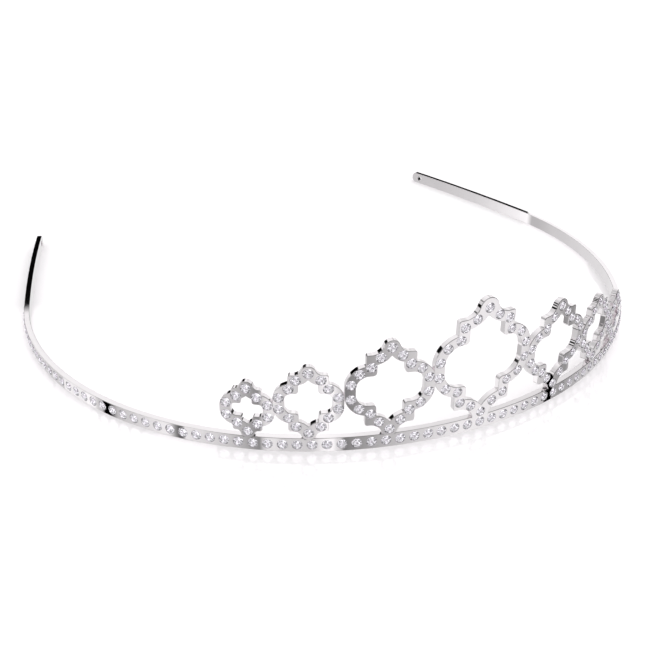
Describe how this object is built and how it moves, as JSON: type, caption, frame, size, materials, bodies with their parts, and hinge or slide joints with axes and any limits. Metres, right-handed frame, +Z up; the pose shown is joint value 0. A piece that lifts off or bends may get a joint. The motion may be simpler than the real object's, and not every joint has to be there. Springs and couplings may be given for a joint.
{
  "type": "tiara",
  "caption": "Open horseshoe headband tiara of polished white metal, its front crowned by pierced quatrefoil motifs graded in size, with a row of small round cut stones along the band.",
  "frame": {"origin": "bottom centre of the bounding box, in the plane of the band's lower edge", "axes": "+X to the viewer's right, +Y towards the open back, +Z up; the front with its motifs faces -Y"},
  "size_m": [0.1568, 0.1368, 0.0305],
  "materials": {
    "metal": "mirror polished white gold",
    "stone": "clear cut stone"
  },
  "bodies": {
    "root": {"frame": "metal", "band_stones": "stone", "centre_motif_stones": "stone", "left_motif_1_stones": "stone", "left_motif_2_stones": "stone", "left_motif_3_stones": "stone", "right_motif_1_stones": "stone", "right_motif_2_stones": "stone", "right_motif_3_stones": "stone"}
  },
  "joints": []
}
